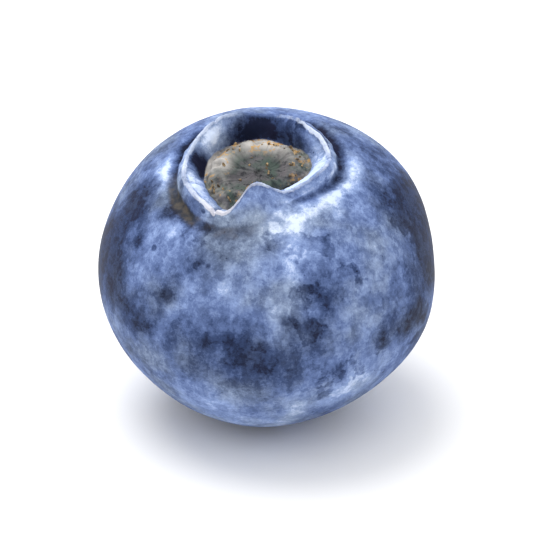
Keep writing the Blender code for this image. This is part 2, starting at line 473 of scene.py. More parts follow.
def sepal_at(degrees):
    """How far the sepals raise the rim, how far they lean it in, and 0 in a notch to 1 at a tip."""
    first = SEPALS[0][0]
    past_first = calculate("WRAP", degrees - first, 360.0, 0.0)
    rises, leans, reaches = 0.0, 0.0, 0.0
    for start, tip, end, rise, lean in SEPALS:
        start, tip, end = start - first, tip - first, end - first
        before = (tip - past_first) / (tip - start)
        after = (past_first - tip) / (end - tip)
        off_tip = calculate("MAXIMUM", before, after)
        reach = (calculate("COSINE", off_tip * math.pi) * 0.5 + 0.5) * between(past_first, start, end)
        rises = rises + reach * rise
        leans = leans + reach * lean
        reaches = reaches + reach
    return rises, leans, reaches


def up_crown(radius, height):
    """0 at the foot of the crown's wall and 1 at its lip, on the inner side as on the outer side."""
    inside = step(radius, DISC_RADIUS, LIP_RADIUS - FOOT_WALL / 2)
    outside = step(height, groove_height(), NOTCH_HEIGHT - 0.12 * MM)
    return outside + (inside - outside) * calculate("LESS_THAN", radius, LIP_RADIUS)


def body_curve(radius):
    """The height of the body's curve above its widest ring, for a number that differs by point."""
    share = radius / EQUATOR_RADIUS
    return calculate("SQRT", calculate("MAXIMUM", 1.0 - share * share, 0.0)) * CROWN_END_HEIGHT


def crown_press(degrees, radius, height, depth):
    """How far a point is drawn in towards the axis on the pressed side, and how far it rises by that."""
    aside = bell(turn_from(degrees, PRESS_AZIMUTH), 0.0, PRESS_WIDTH)
    fades_out = step(radius, GROOVE_RADIUS, PRESS_END_RADIUS, 1.0, 0.0)
    fades_in = calculate("MINIMUM", radius / (LIP_RADIUS - FOOT_WALL), 1.0)
    inwards = depth * aside * fades_out * fades_in * calculate("GREATER_THAN", height, 0.0)
    outside = calculate("GREATER_THAN", radius, LIP_RADIUS) * (1.0 - up_crown(radius, height))
    return inwards, (body_curve(radius - inwards) - body_curve(radius)) * outside


def fold_at(degrees, radius, height):
    """A ridge with a shallow crease beside it, fading down the body."""
    down = clamp((CROWN_FOOT - height) / (CROWN_FOOT - FOLD_END))
    middle = down * (FOLD_END_AZIMUTH - FOLD_TOP_AZIMUTH) + FOLD_TOP_AZIMUTH
    turn = turn_from(degrees, middle) / FOLD_WIDTH
    starts = step(radius, GROOVE_RADIUS, SHOULDER_RADIUS)
    ends = step(down, 0.4, 1.0, 1.0, 0.0)
    return (bell(turn, 0.0, 1.0) - bell(turn, CREASE_TURN, 1.0) * CREASE_SHARE) * starts * ends


def spots_at(direction, spots):
    """What round spots add in this direction, each given by azimuth, latitude, amount and width."""
    added = 0.0
    for azimuth, latitude, amount, width in spots:
        across, up = math.radians(azimuth), math.radians(latitude)
        middle = (math.cos(across) * math.cos(up), math.sin(across) * math.cos(up), math.sin(up))
        near = calculate_vector("DOT_PRODUCT", direction, middle, output=1)
        off = calculate("ARCCOSINE", calculate("MINIMUM", near, 1.0)) * (180 / math.pi)
        added = added + bell(off, 0.0, width) * amount
    return added


def round_the_axis(degrees, places):
    """What places round the crown add, each given by azimuth, amount and width."""
    added = 0.0
    for azimuth, amount, width in places:
        added = added + bell(turn_from(degrees, azimuth), 0.0, width) * amount
    return added


print("one rule each for", ", ".join(rule.__name__ for rule in (sepal_at, crown_press, fold_at)))

# %% [markdown]
# ## Small tools for Geometry Nodes
#
# A tree is a recipe, and its inputs are the sizes that a cook may change. Each tree below gets its inputs
# from a plain list of names and values, and ends by making all geometry real and giving it a material.
# *Run* hangs the tree on an object, lets Blender work it out, and keeps the result as a plain mesh. A
# plain mesh is safer to hand on than a recipe, because every program can read it.

# %% Tools for trees


def new_tree(name, inputs):
    """An empty Geometry Nodes tree with these inputs, and its input and output nodes."""
    tree = bpy.data.node_groups.new(name, "GeometryNodeTree")
    tree.interface.new_socket("Geometry", in_out="OUTPUT", socket_type="NodeSocketGeometry")
    kinds = {bpy.types.Object: "Object", bpy.types.Material: "Material", int: "Int", float: "Float"}
    for label, value in inputs.items():
        kind = next(kinds[known] for known in kinds if isinstance(value, known))
        socket = tree.interface.new_socket(label, in_out="INPUT", socket_type=f"NodeSocket{kind}")
        if kind in ("Int", "Float"):
            socket.default_value = value
    start = tree.nodes.new("NodeGroupInput")
    return tree, {label: Value(start.outputs[label]) for label in inputs}


def finish_tree(tree, geometry, material):
    """Real geometry with its material, which is what leaves the tree."""
    real = result(tree, "GeometryNodeRealizeInstances", {"Geometry": geometry})
    dressed = result(tree, "GeometryNodeSetMaterial", {"Geometry": real, "Material": material})
    feed(tree.nodes.new("NodeGroupOutput").inputs[0], dressed)


def run_tree(name, tree, inputs):
    """The tree's result as a plain mesh object."""
    holder = bpy.data.objects.new(name, bpy.data.meshes.new(name))
    bpy.context.scene.collection.objects.link(holder)
    modifier = holder.modifiers.new("grow", "NODES")
    modifier.node_group = tree
    for socket in tree.interface.items_tree:
        if socket.in_out == "INPUT":
            modifier[socket.identifier] = inputs[socket.name]
    graph = bpy.context.evaluated_depsgraph_get()
    mesh = bpy.data.meshes.new_from_object(
        holder.evaluated_get(graph), preserve_all_data_layers=True, depsgraph=graph
    )
    holder.modifiers.clear()
    holder.data = mesh
    mesh.name = name
    return holder


def triangle_count(mesh):
    return sum(len(face.vertices) - 2 for face in mesh.polygons)


def mesh_of(tree, piece):
    """Another piece's mesh, as a tree sees it."""
    return result(tree, "GeometryNodeObjectInfo", {"Object": piece}, "Geometry")


def position_in(tree):
    return result(tree, "GeometryNodeInputPosition")


def normal_in(tree):
    return result(tree, "GeometryNodeInputNormal")


def moved_by(tree, mesh, offset):
    return result(tree, "GeometryNodeSetPosition", {"Geometry": mesh, "Offset": offset})


def store(tree, mesh, name, value, kind="FLOAT"):
    inputs = {"Geometry": mesh, "Name": name, "Value": value}
    return result(tree, "GeometryNodeStoreNamedAttribute", inputs, data_type=kind, domain="POINT")


def stored(tree, name, kind="FLOAT"):
    """What each point has stored under this name."""
    return result(tree, "GeometryNodeInputNamedAttribute", {"Name": name}, data_type=kind)


def read_row(tree, line, row, value, kind="FLOAT"):
    """What the outline's point of this row says."""
    inputs = {"Geometry": line, "Value": value, "Index": row}
    return result(tree, "GeometryNodeSampleIndex", inputs, data_type=kind, domain="POINT")


print("a tree takes numbers, objects and materials as inputs")

# %% [markdown]
# ## From the outline to the form
#
# A flat grid is the cloth that the berry is cut from. Its columns go round the axis and its rows go along
# the outline. For each point of the grid the tree reads the outline's point of that row, turns it to the
# column's direction, and applies the rules above. The result is a place in space. It could also be had by
# turning the outline first and pushing points about later, but here every point still knows exactly
# where on the berry it belongs.

# %% Form and relief


def outline_at(tree, given, along):
    """Radius, height and weights of the outline, this share of the way along it."""
    line = mesh_of(tree, given["Outline"])
    row = calculate("ROUND", along * (given["Rows"] - 1.0))
    radius, _, height = split(read_row(tree, line, row, position_in(tree), "FLOAT_VECTOR"))
    weight = {name: read_row(tree, line, row, stored(tree, name)) for name in WEIGHTS}
    return radius, height, weight


def form_at(tree, given, degrees, radius, height, weight):
    """Where this point of the outline goes in this direction, and how far it is up a sepal."""
    radians = degrees * (math.pi / 180)
    cosine, sine = calculate("COSINE", radians), calculate("SINE", radians)
    upright = join(tree, radius * cosine, radius * sine, height)
    direction = calculate_vector("NORMALIZE", upright)
    rise, lean, reach = sepal_at(degrees)
    up = up_crown(radius, height)
    on_rim = join(tree, cosine * LIP_RADIUS, sine * LIP_RADIUS, given["Seed"] * MM)
    ragged = noise(on_rim, RAGGED_SIZE, detail=5.0, rough=0.7) * given["Ragged edge"]
    tears = step(noise(on_rim, TEAR_SIZE, seed=25.0), 0.12, 0.2) * given["Tear depth"]
    ragged = (ragged - tears) * up**3.0
    wavy = noise(on_rim, WAVE_SIZE, seed=15.0) * given["Wavy edge"] * up * up
    inwards, lifted = crown_press(degrees, radius, height, given["Press depth"])
    hollow = bell(radius, HOLLOW_RING, HOLLOW_WIDTH) * round_the_axis(degrees, HOLLOWS)
    hollow = hollow * calculate("GREATER_THAN", height, 0.0)
    fill = weight["groove"] * round_the_axis(degrees, GROOVE_FILLS)

    swell = spots_at(direction, SWELLS) + fold_at(degrees, radius, height) * given["Fold height"]
    swell = swell + noise(upright, BROAD_LUMP, detail=0.0, seed=31.0) * given["Lump height"]
    grown_radius = radius - inwards - up * up * lean * given["Sepal lean"] + wavy
    grown_height = height + lifted + up * rise * given["Sepal height"] + ragged - hollow + fill
    formed = join(tree, grown_radius * cosine, grown_radius * sine, grown_height)
    return calculate_vector("ADD", formed, scaled(direction, swell)), reach, up


def on_ring(flat, radius):
    """The place moved straight out or in to one ring on the disc, so that noise there gives rays."""
    return scaled(flat, RAY_RING / calculate("MAXIMUM", radius, RAY_RING / 4))


def relief_at(given, degrees, radius, weight, formed):
    """How far the small lumps stand out of the surface, and how deep in a stamen's scar it is."""
    flat = stretched(formed, (1.0, 1.0, 0.0))
    upwards = stretched(formed, (1.0, 1.0, WRINKLE_STRETCH))
    skin_lumps = noise(formed, SKIN_LUMP, detail=4.0, rough=0.55, seed=5.0)
    wrinkles = noise(upwards, WALL_WRINKLE, detail=4.0, seed=9.0)
    disc_lumps = noise(formed, DISC_LUMP, detail=5.0, rough=0.65, seed=13.0)
    rays = noise(on_ring(flat, radius), RAY_WIDTH, detail=3.0, seed=55.0)
    rays = rays * step(radius, 0.5 * MM, NECTARY_RADIUS)
    share = 360.0 / STAMENS
    off_stamen = calculate("WRAP", degrees, share, 0.0) - share / 2
    stamen = bell(off_stamen, 0.0, STAMEN_DEGREES) * bell(radius, STAMEN_RING, STAMEN_LENGTH)
    cork = noise(formed, CORK_LUMP, detail=4.0, rough=0.7, seed=17.0)
    relief = (
        skin_lumps * given["Skin relief"] * weight["skin"]
        + wrinkles * given["Wall wrinkles"] * (weight["inner_wall"] + weight["outer_wall"])
        + disc_lumps * given["Disc relief"] * weight["disc"]
        + rays * given["Disc wrinkles"] * weight["disc"]
        - stamen * given["Stamen scar depth"] * weight["disc"]
        + cork * given["Cork relief"] * weight["stalk_scar"]
    )
    return relief, stamen


print("the form follows", len(WEIGHTS), "weights that the outline carries")

# %% [markdown]
# ## The tree that grows the berry
#
# The grid goes to its formed place, and its seam and its two poles are closed by merging. Small lumps are
# raised along the surface's own direction only after that, so they stand out of a closed skin. The berry
# is leaned as it lies and gets its material. The place on the upright berry is stored as an attribute,
# because the bloom's pattern follows the berry's own axis and not the room's.

# %% Grow the berry
MERGE_DISTANCE = 0.001 * MM


def close_up(tree, berry, formed):
    """The grid goes to its formed place, its seam and poles are merged, and its faces turn outwards."""
    shaped = result(tree, "GeometryNodeSetPosition", {"Geometry": berry, "Position": formed})
    inputs = {"Geometry": shaped, "Distance": MERGE_DISTANCE}
    closed = result(tree, "GeometryNodeMergeByDistance", inputs)
    return result(tree, "GeometryNodeFlipFaces", {"Mesh": closed})


def grow_tree(inputs):
    tree, given = new_tree("grow berry", inputs)
    sizes = {"Vertices X": given["Columns"] + 1.0, "Vertices Y": given["Rows"]}
    grid = add_node(tree, "GeometryNodeMeshGrid", sizes)
    across, along, _ = split(Value(grid.outputs["UV Map"]))
    degrees = across * 360.0
    radius, height, weight = outline_at(tree, given, along)
    formed, reach, up = form_at(tree, given, degrees, radius, height, weight)
    relief, stamen = relief_at(given, degrees, radius, weight, formed)

    # stored before the merge, because the direction is read from the grid, and is lost at the seam
    berry = Value(grid.outputs["Mesh"])
    kept = {**weight, "sepal": reach, "stamen_scar": stamen, "up_crown": up, "relief": relief}
    for name, value in kept.items():
        berry = store(tree, berry, name, value)
    berry = store(tree, berry, "upright", formed, "FLOAT_VECTOR")
    berry = close_up(tree, berry, formed)
    berry = moved_by(tree, berry, scaled(normal_in(tree), stored(tree, "relief")))
    berry = result(tree, "GeometryNodeTransform", {"Geometry": berry, "Rotation": LEAN})
    berry = result(tree, "GeometryNodeSetShadeSmooth", {"Geometry": berry})
    finish_tree(tree, berry, given["Material"])
    return tree


skin = bpy.data.materials.new("bloomed skin")
berry_inputs = {"Outline": outline, "Rows": rows, **SIZE_INPUTS, "Material": skin}
berry = run_tree("berry", grow_tree(berry_inputs), berry_inputs)
bpy.data.objects.remove(outline)
print("the berry has", triangle_count(berry.data), "triangles")

# %% [markdown]
# ## Dry bits
#
# A ripe berry keeps crumbs of its dead flower: bits of stamens and style on the disc, most of them swept
# to its far edge. Loose cork crumbs sit in the stalk scar. They are what repeats on a surface, so a
# second tree scatters them. It takes the berry's mesh, picks points where a stored weight is high, puts a
# low ball on each, turned and stretched at random, and dents them all with noise.

# %% Scatter crumbs on a part of the berry
CRUMBS = "Crumbs in a square metre"
CLUMP_SIZE = 1.1 * MM
DENT_SIZE = 0.12 * MM
LEAST_STRETCH = (0.25, 0.25, 0.2)
MOST_STRETCH = (1.9, 1.0, 0.8)


def points_on(tree, given, part, position):
    """Points in clumps on the berry, where this stored weight is high and the axis is near."""
    clumps = step(noise(position, CLUMP_SIZE, seed=33.0), -0.05, 0.1)
    flat = stretched(stored(tree, "upright", "FLOAT_VECTOR"), (1.0, 1.0, 0.0))
    near_axis = calculate("LESS_THAN", calculate_vector("LENGTH", flat, output=1), given["Reach"])
    inputs = {
        "Mesh": mesh_of(tree, given["Berry"]),
        "Selection": calculate("GREATER_THAN", stored(tree, part), 0.6) * near_axis,
        "Density": clumps * given[CRUMBS],
        "Seed": given["Seed"],
    }
    return result(tree, "GeometryNodeDistributePointsOnFaces", inputs, "Points")


def random_vector(tree, low, high, seed):
    inputs = {0: low, 1: high, "Seed": seed}
    return result(tree, "FunctionNodeRandomValue", inputs, data_type="FLOAT_VECTOR")


def crumbs_tree(inputs, part):
    """Small uneven crumbs on the part of the berry where this stored weight is high."""
    tree, given = new_tree("crumbs on " + part, inputs)
    position = position_in(tree)
    ball = {"Radius": given["Size"], "Subdivisions": 2}
    placed = {
        "Points": points_on(tree, given, part, position),
        "Instance": result(tree, "GeometryNodeMeshIcoSphere", ball, "Mesh"),
        "Scale": random_vector(tree, LEAST_STRETCH, MOST_STRETCH, 5),
        "Rotation": random_vector(tree, (0, 0, 0), (math.tau,) * 3, 6),
    }
    crumbs = result(tree, "GeometryNodeInstanceOnPoints", placed)
    crumbs = result(tree, "GeometryNodeRealizeInstances", {"Geometry": crumbs})
    dents = noise(position, DENT_SIZE, detail=3.0, rough=0.7, seed=35.0) * given["Dent depth"]
    finish_tree(tree, moved_by(tree, crumbs, scaled(normal_in(tree), dents)), given["Material"])
    return tree


def scatter(name, part, material, **sizes):
    inputs = {"Berry": berry, **sizes, "Material": material}
    piece = run_tree(name, crumbs_tree(inputs, part), inputs)
    print(name, "has", triangle_count(piece.data), "triangles")
    return piece


dry_flower = bpy.data.materials.new("dry flower")
dry_cork = bpy.data.materials.new("dry cork")
dry_bits = scatter(
    "dry_bits", "disc", dry_flower,
    **{CRUMBS: 5e6, "Seed": 3, "Reach": DISC_RADIUS, "Size": 0.11 * MM, "Dent depth": 0.09 * MM}
)
cork_bits = scatter(
    "cork_bits", "stalk_scar", dry_cork,
    **{CRUMBS: 6e7, "Seed": 4, "Reach": 0.7 * STALK_SCAR_RADIUS, "Size": 0.1 * MM, "Dent depth": 0.06 * MM}
)

# %% [markdown]
# ## Lay it down
#
# The berry is leaned but still hangs round its own middle. It is moved so that its box has the same
# middle as the measured solid's, seen from above, and so low that the lowest 0.12 mm is under the table.
# What is under the table is then pressed up to it, as the soft skin does where a berry settles. It could
# be left to touch the table in one point, but then it would look weightless.

# %% Lay the berry where the solid lies
FLAT_SPOT_DEPTH = 0.12 * MM


def corners(mesh):
    places = [vertex.co for vertex in mesh.vertices]
    return [Vector(find(co[k] for co in places) for k in range(3)) for find in (min, max)]


def way_down(piece):
    """From where the berry hangs to where it lies."""
    low, high = corners(piece.data)
    solid_low, solid_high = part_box(SOLID)
    move = (solid_low + solid_high - low - high) / 2
    move.z = -low.z - FLAT_SPOT_DEPTH
    return move


move = way_down(berry)
for piece in (berry, dry_bits, cork_bits):
    for vertex in piece.data.vertices:
        vertex.co += move
        vertex.co.z = max(vertex.co.z, 0.0)
low, high = corners(berry.data)
print("the finer berry measures", " x ".join(f"{v / MM:.2f}" for v in high - low), "mm")

# %% [markdown]
# ## Skin under bloom
#
# The skin itself is nearly black, with a little blue or purple, and rather glossy. The bloom on it is a
# wax of tiny plates and tubes that scatters light, most of all blue light, so it looks pale blue and
# matte. It is thick where nothing has touched it, as beside the crown, and it is thin or gone where
# leaves or hands have rubbed it. So one number, the *cover*, says how much bloom there is, and colour,
# roughness and bump all follow from it.
#
# A painter would mix these colours on a palette, from bare skin to thick wax. The palettes below do the
# same: a few stops of cover and colour, one row for blue bloom and one for the greyer bloom where dust has
# settled in it.

# %% Colours of the skin


def paint(red, green, blue):
    """A colour given as on a paint chip, 0 to 255, as the linear numbers a shader wants."""
    shares = [channel / 255 for channel in (red, green, blue)]
    return (*[((c + 0.055) / 1.055) ** 2.4 if c > 0.04 else c / 12.92 for c in shares], 1.0)


BARE_BLUE = paint(19, 26, 48)
BARE_PURPLE = paint(27, 28, 50)
BLUE_BLOOM = (  # how much bloom, and the colour it gives
    (0.0, paint(26, 36, 64)),
    (0.25, paint(56, 72, 110)),
    (0.5, paint(94, 113, 158)),
    (0.75, paint(134, 155, 200)),
    (1.0, paint(202, 217, 246)),
)
GREY_BLOOM = (
    (0.0, paint(30, 34, 50)),
    (0.25, paint(62, 73, 98)),
    (0.5, paint(104, 118, 144)),
    (0.75, paint(146, 161, 186)),
    (1.0, paint(208, 218, 234)),
)

print("bloom goes from bare skin to thick wax in", len(BLUE_BLOOM), "stops of colour")

# %% [markdown]
# ## Small tools for shader trees
#
# A material is a node tree too, but one that runs for every spot of the surface when it is rendered. The
# same arithmetic serves. What is new is colour: *mix* lays one colour over another, and *ramp* picks a
# colour from a palette. *Cells* scatter points through space and say how far the nearest one is, which is
# how small round dots are made.

# %% Tools for shader trees


def attribute(tree, name, output="Fac"):
    return result(tree, "ShaderNodeAttribute", None, output, attribute_name=name)


def mix(factor, first, second):
    """The first colour where the factor is 0 and the second where it is 1."""
    inputs = {0: factor, 6: first, 7: second}
    return result(tree_of(factor, first, second), "ShaderNodeMix", inputs, 2, data_type="RGBA")


def ramp(value, stops):
    """The colour that belongs to the value, between stops of value and colour."""
    made = add_node(tree_of(value), "ShaderNodeValToRGB", {0: value})
    elements = made.color_ramp.elements
    for number, (place, colour) in enumerate(stops):
        element = elements[number] if number < 2 else elements.new(place)
        element.position, element.color = place, colour
    return Value(made.outputs[0])


def cells(at, size, seed=0.0):
    """Distance to the nearest of many scattered points, as a share of size, and a random number of it."""
    moved = calculate_vector("ADD", at, (seed * MM, 2 * seed * MM, -seed * MM))
    made = add_node(tree_of(at), "ShaderNodeTexVoronoi", {"Vector": moved, "Scale": 1 / size})
    random = result(tree_of(at), "ShaderNodeSeparateColor", {0: Value(made.outputs["Color"])})
    return Value(made.outputs["Distance"]), random


print("mixing, ramps and cells are ready")

# %% [markdown]
# ## Where the bloom is thick, thin or gone
#
# The cover is built up as bloom itself comes about, from wide to fine. Wide *patches* are where the wax
# grew thick or thin. *Clouds* are its softer spots, *streaks* are where dew ran down, and *rubs*, with
# their crisp edge, are where something wiped it off. *Flakes*, *crumbs* and *grain* are the wax itself,
# seen closer and closer. *Specks* are small dots where a pore of the skin is.
#
# Some marks belong to this one berry: a bright crescent beside the crown and a pale line down the fold,
# which are painted highlights, dark sides and a dark spot beside the fold, which are painted shade, paler
# spots low down, which are painted light thrown up from the table, and a few dark dots. They stand in a
# short list by their azimuth and latitude, like towns on a globe, and noise shakes their outlines, so
# that none of them is round. The pattern is read in the berry's upright place, which was stored above, so
# streaks run down from the crown whichever way the berry lies.

# %% Marks of this berry
WIDE_MARKS = (  # azimuth, latitude, how much bloom it adds, and its width in degrees
    # the dark sides, right and left, are painted shade, laid on as thinner bloom
    (8, 25, -0.36, 15), (357, 6, -0.46, 14),  # the dark side on the right
    (184, 24, -0.5, 14), (177, 8, -0.4, 13),  # the dark side on the left
    (268, 10, -0.3, 18),  # low in front
)
MARKS = (  # the same, for those with a closer outline
    # darker spots; (295, 35) beside the fold and (345, 11), (332, 2), (357, 40) toward the right side are
    # painted shade
    (345, 11, -0.45, 9), (332, 2, -0.4, 8), (357, 40, -0.35, 9), (202, 17, -0.42, 9),
    (217, 13, -0.25, 6), (180, 44, -0.25, 7), (280, 10, -0.25, 8), (262, 27, -0.12, 8),
    (295, 35, -0.32, 8), (301, 48, 0.12, 6), (318, 10, -0.2, 8), (244, 50, -0.12, 9),
    # the bright crescent beside the crown, a painted highlight where the light catches its brow
    (284, 60, 0.52, 5), (296, 60, 0.38, 4), (308, 61, 0.34, 4), (320, 61, 0.3, 5),
    (334, 60, 0.38, 5), (350, 58, 0.35, 5), (7, 55, 0.35, 6),
    # the pale line down the fold, a painted highlight along its ridge
    (289, 53, 0.4, 6), (286, 46, 0.22, 4), (285, 39, 0.16, 4), (284, 32, 0.17, 5),
    # paler spots in front
    (216, 44, 0.18, 9), (218, 28, 0.2, 6), (236, 30, 0.25, 7), (230, 10, 0.15, 8), (326, 35, 0.22, 8),
    # a pale ridge, which is a painted highlight, and a dark foot at the left of the crown
    (171, 53, 0.55, 5), (185, 54, 0.3, 4), (203, 55, -0.4, 7),
    # paler spots low on the berry, painted light thrown up from the table
    (248, -6, 0.2, 9), (278, -11, 0.25, 9), (300, -11, 0.3, 10), (318, -6, 0.25, 7),
)
DOTS = (  # the same, for the small dark dots
    (202, 36, -0.5, 2.4), (229, 29, -0.65, 3.4), (247, 17, -0.34, 3.6),
    (256, 20, -0.26, 2.8), (279, 27, -0.36, 2.6), (312, 5, -0.4, 4.5),
)
GREY_MARKS = ((244, 50, 0.7, 9), (262, 57, 0.9, 9), (192, 56, 1.2, 8), (312, 5, 0.5, 5))

print("this berry has", len(WIDE_MARKS) + len(MARKS), "marks in its bloom and", len(DOTS), "dark dots")

# %% How much bloom there is
MEAN_COVER, LEAST_COVER = 0.51, 0.04
PATCH_SIZE, CLOUD_SIZE, RUB_SIZE = 5.0 * MM, 2.1 * MM, 3.1 * MM
STREAK_SIZE, STREAK_STRETCH = 0.7 * MM, 0.2
FLAKE_SIZE, CRUMB_SIZE, GRAIN_SIZE = 0.62 * MM, 0.2 * MM, 0.06 * MM
WIDE_SHAKE, MARK_SHAKE, DOT_SHAKE = (3.2 * MM, 0.55), (1.4 * MM, 0.22), (0.4 * MM, 0.04)
SMALL_SPECKS = (0.62 * MM, 0.07 * MM, 0.4, 89.0)  # cell, dot, share of cells with a dot, seed
LARGE_SPECKS = (2.6 * MM, 0.26 * MM, 0.25, 83.0)


def shaken(at, size, amount):
    """A place's direction moved about by noise, so that what is placed by it gets an uneven edge."""
    inputs = {"Vector": at, "Scale": 1 / size, "Detail": 3.0}
    colour = result(tree_of(at), "ShaderNodeTexNoise", inputs, "Color")
    moves = stretched(calculate_vector("SUBTRACT", colour, (0.5, 0.5, 0.5)), (amount,) * 3)
    moved = calculate_vector("ADD", calculate_vector("NORMALIZE", at), moves)
    return calculate_vector("NORMALIZE", moved)


def specks(at, size, dot, share, seed):
    """1 in small round dots, one in some of the cells of this size, and 0 between them."""
    off, chance = cells(at, size, seed)
    radius = step(chance, 1.0 - share, 1.0, 0.4, 1.0) * (dot / size)
    return step(off / radius, 0.55, 1.0, 1.0, 0.0) * calculate("GREATER_THAN", chance, 1.0 - share)


def wide_bloom(at, height):
    """Patches, clouds, streaks, rubs and marks: what is seen from a step away."""
    patches = noise(at, PATCH_SIZE, detail=1.0, seed=3.0)
    clouds = noise(at, CLOUD_SIZE, detail=4.0, rough=0.6, seed=61.0)
    down = stretched(at, (1.0, 1.0, STREAK_STRETCH))
    streaks = noise(down, STREAK_SIZE, detail=3.0, rough=0.6, seed=53.0)
    streaks = streaks * step(height, -4.0 * MM, 5.0 * MM, 0.2, 0.6)
    # the marks hold painted light: shade on the sides and beside the fold, highlights beside the crown and
    # down the fold, light from the table low down
    marks = spots_at(shaken(at, *WIDE_SHAKE), WIDE_MARKS)
    marks = marks + spots_at(shaken(at, *MARK_SHAKE), MARKS)
    rubs = step(noise(at, RUB_SIZE, detail=5.0, rough=0.6, seed=67.0), 0.1, 0.13)
    return patches * 0.85 + MEAN_COVER + clouds * 0.75 + streaks + marks - rubs * 0.2


def bloom_cover(at, height):
    """How much bloom covers the skin, mostly from 0 to 1."""
    flakes = step(noise(at, FLAKE_SIZE, detail=5.0, rough=0.62, seed=11.0), -0.05, 0.05)
    crumbs = step(noise(at, CRUMB_SIZE, detail=4.0, rough=0.65, seed=19.0), -0.04, 0.06)
    grain = noise(at, GRAIN_SIZE, rough=0.7, seed=21.0)
    cover = wide_bloom(at, height) + flakes * 0.11 + crumbs * 0.08 + grain * 0.25 - 0.08
    cover = cover + spots_at(shaken(at, *DOT_SHAKE), DOTS)
    cover = cover - specks(at, *SMALL_SPECKS) * 0.25 - specks(at, *LARGE_SPECKS) * 0.35
    return calculate("MAXIMUM", cover, flakes * 0.07 + crumbs * 0.05 + grain * 0.2 + LEAST_COVER)


print("the bloom goes from patches of", PATCH_SIZE / MM, "mm down to grain of", GRAIN_SIZE / MM, "mm")

# %% [markdown]
# ## The finish of the skin
#
# Now the cover becomes a material. It chooses the colour on the palettes, makes the surface rougher where
# wax lies thick, and lifts it by a hair's breadth, because wax is a layer. Even a rubbed spot keeps a
# film of wax, so it is smoother there but never glossy. The groove round the crown is darkened by taking
# bloom out of it, which is painted shade, least in front, and it holds some dust at the side. Inside the
# crown the wall is pale in front and dark at its foot and at the back, where it lies in its own shade and
# little wax has grown; that darkness is painted shade as well as bare skin.

# %% The finish of the skin
SHINE = 0.07  # wax hardly shines
BARE_ROUGHNESS, WAX_ROUGHNESS, GROOVE_ROUGHNESS = 0.52, 0.25, 0.2
WAX_HEIGHT, WAX_GRAIN = 0.02 * MM, 0.09 * MM
SKIN_HUE_SIZE, GREY_SIZE, GREY_SHAKE = 3.0 * MM, 2.4 * MM, (1.1 * MM, 0.2)
GROOVE_BLOOM = ((255, 0.55, 50), (286, 0.55, 18), (316, 0.2, 16))  # where bloom fills it
# BACK_OF_CROWN darkens the inner wall at the back, painted shade with little wax, and pales the disc's
# ring there
BACK_OF_CROWN = ((84, 1.0, 42), (162, 1.1, 13))
SIDES_OF_CROWN = ((350, 0.25, 40), (205, 0.15, 28), (138, 0.35, 15))
FRONT_OF_CROWN = ((263, 0.12, 36),)
# at 90 degrees the lip's pale edge is taken away: painted shade at the back of the crown
LIP_TONES = ((90, -0.6, 24), (33, 0.5, 24), (128, 0.35, 18), (222, 0.5, 26))
WIDE_LIP = ((238, 0.5, 13), (205, 0.25, 22), (30, 0.2, 16))
WARM_LIP = ((236, 0.9, 16), (262, 0.4, 12))
DUST_IN_GROOVE = ((201, 1.25, 24), (254, 0.35, 26))


def dress(material):
    """Bloomed skin all over, and what the crown's finish needs to be laid over it."""
    material.use_nodes = True
    tree = material.node_tree
    shader = tree.nodes["Principled BSDF"]
    shader.inputs["Specular IOR Level"].default_value = SHINE
    at = attribute(tree, "upright", "Vector")
    weight = {name: attribute(tree, name) for name in (*WEIGHTS, "sepal", "stamen_scar", "up_crown")}
    x, y, height = split(at)
    degrees = calculate("ARCTAN2", y, x) * (180 / math.pi)
    back = round_the_axis(degrees, BACK_OF_CROWN)

    cover = bloom_cover(at, height)
    # painted shade in the groove: bloom is taken out of it, least where GROOVE_BLOOM lies in front
    groove = weight["groove"] * (0.6 - round_the_axis(degrees, GROOVE_BLOOM))
    front = round_the_axis(degrees, FRONT_OF_CROWN)
    cover = cover + weight["outer_wall"] * (front + 0.1) - groove
    # the inner wall darkens at its foot and at the back: painted shade of the cup, and little wax there
    inner = weight["up_crown"] * 0.5 - 0.2 - back * 0.8 + round_the_axis(degrees, SIDES_OF_CROWN)
    cover = clamp(cover + weight["inner_wall"] * inner)

    skin_hue = step(noise(at, SKIN_HUE_SIZE, seed=23.0), -0.12, 0.12)
    bare = mix(skin_hue, BARE_BLUE, BARE_PURPLE)
    greys = spots_at(shaken(at, *GREY_SHAKE), GREY_MARKS)
    hue = step(noise(at, GREY_SIZE, detail=3.0, seed=29.0), -0.1, 0.2) * 0.8 + greys
    bloom = mix(clamp(hue), ramp(cover, BLUE_BLOOM), ramp(cover, GREY_BLOOM))
    colour = mix(step(cover, -0.05, 0.16), bare, bloom)

    rough = cover * WAX_ROUGHNESS + BARE_ROUGHNESS + weight["groove"] * GROOVE_ROUGHNESS
    feed(shader.inputs["Roughness"], clamp(rough))
    fine = noise(at, WAX_GRAIN, seed=47.0)
    bump = {"Strength": 0.6, "Distance": WAX_HEIGHT, "Height": fine + cover}
    feed(shader.inputs["Normal"], result(tree, "ShaderNodeBump", bump))
    return shader, at, degrees, weight, colour


print("the skin's finish follows its cover of bloom")

# %% [markdown]
# ## The finish of the crown and the stalk scar
#
# The disc is dry tissue, brown and olive, with fine wrinkles that run out from the style scar. Its outer
# ring is paler at the back and has ochre patches, where the stamens broke off. The sepals' dry edge is
# pale, here broad, there thin or worn away; at the back it is mostly left out, as painted shade. The stalk
# scar is brown cork inside and has an uneven edge, because the skin tore there. Each colour is laid over
# the last with a weight that the outline has carried all along, so no colour needs an image to know its
# place.

